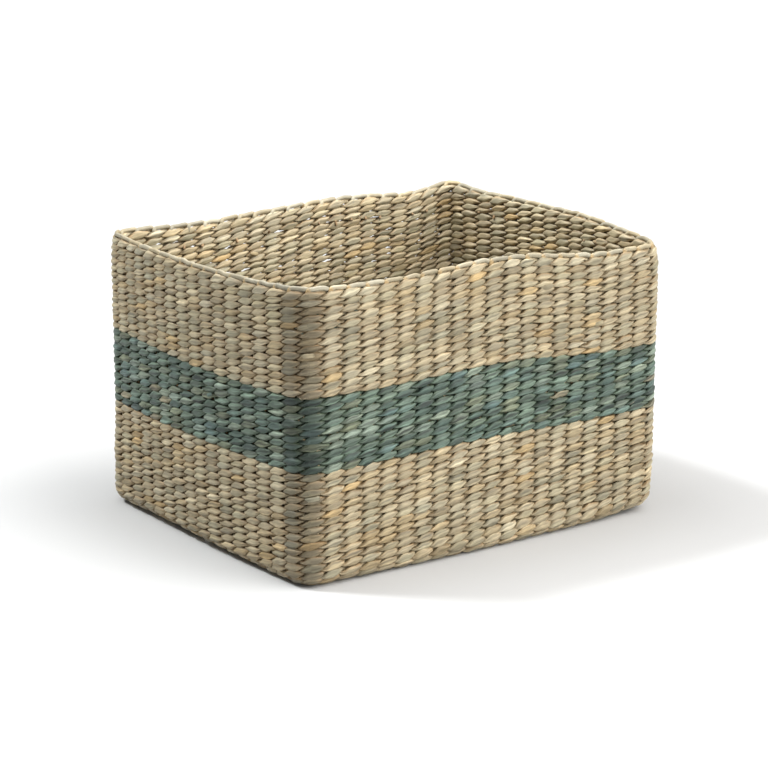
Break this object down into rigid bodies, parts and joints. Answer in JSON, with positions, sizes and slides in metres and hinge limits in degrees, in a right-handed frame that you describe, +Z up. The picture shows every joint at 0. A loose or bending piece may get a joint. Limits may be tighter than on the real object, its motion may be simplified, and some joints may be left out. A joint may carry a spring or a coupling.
{
  "type": "woven storage basket",
  "caption": "Open rectangular storage basket twined from seagrass over flat stakes, natural colour with one dyed band round its middle.",
  "frame": {"origin": "middle of the underside, where the basket stands", "axes": "+Z up out of the open top, +X along the long side, -Y towards the front long wall"},
  "size_m": [0.394, 0.306, 0.24],
  "materials": {
    "natural_seagrass": "dry twisted seagrass, matt with a slight waxy sheen, beige to olive grey",
    "green_seagrass": "dyed twisted seagrass, matt, muted green with blue and yellow variation",
    "stake_seagrass": "tight twisted seagrass stake, matt brown",
    "rim_seagrass": "flat pale seagrass strip, matt with a slight waxy sheen"
  },
  "bodies": {
    "root": {"base_weave": "natural_seagrass", "lower_natural_band": "natural_seagrass", "green_band": "green_seagrass", "upper_natural_band": "natural_seagrass", "rim_border": "rim_seagrass", "cross_stake_01": "stake_seagrass", "cross_stake_02": "stake_seagrass", "cross_stake_03": "stake_seagrass", "cross_stake_04": "stake_seagrass", "cross_stake_05": "stake_seagrass", "cross_stake_06": "stake_seagrass", "cross_stake_07": "stake_seagrass", "cross_stake_08": "stake_seagrass", "cross_stake_09": "stake_seagrass", "cross_stake_10": "stake_seagrass", "cross_stake_11": "stake_seagrass", "cross_stake_12": "stake_seagrass", "cross_stake_13": "stake_seagrass", "cross_stake_14": "stake_seagrass", "cross_stake_15": "stake_seagrass", "cross_stake_16": "stake_seagrass", "cross_stake_17": "stake_seagrass", "cross_stake_18": "stake_seagrass", "cross_stake_19": "stake_seagrass", "cross_stake_20": "stake_seagrass", "cross_stake_21": "stake_seagrass", "long_stake_01": "stake_seagrass", "long_stake_02": "stake_seagrass", "long_stake_03": "stake_seagrass", "long_stake_04": "stake_seagrass", "long_stake_05": "stake_seagrass", "long_stake_06": "stake_seagrass", "long_stake_07": "stake_seagrass", "long_stake_08": "stake_seagrass", "long_stake_09": "stake_seagrass", "long_stake_10": "stake_seagrass", "long_stake_11": "stake_seagrass", "long_stake_12": "stake_seagrass", "long_stake_13": "stake_seagrass", "long_stake_14": "stake_seagrass", "long_stake_15": "stake_seagrass", "long_stake_16": "stake_seagrass"}
  },
  "joints": []
}
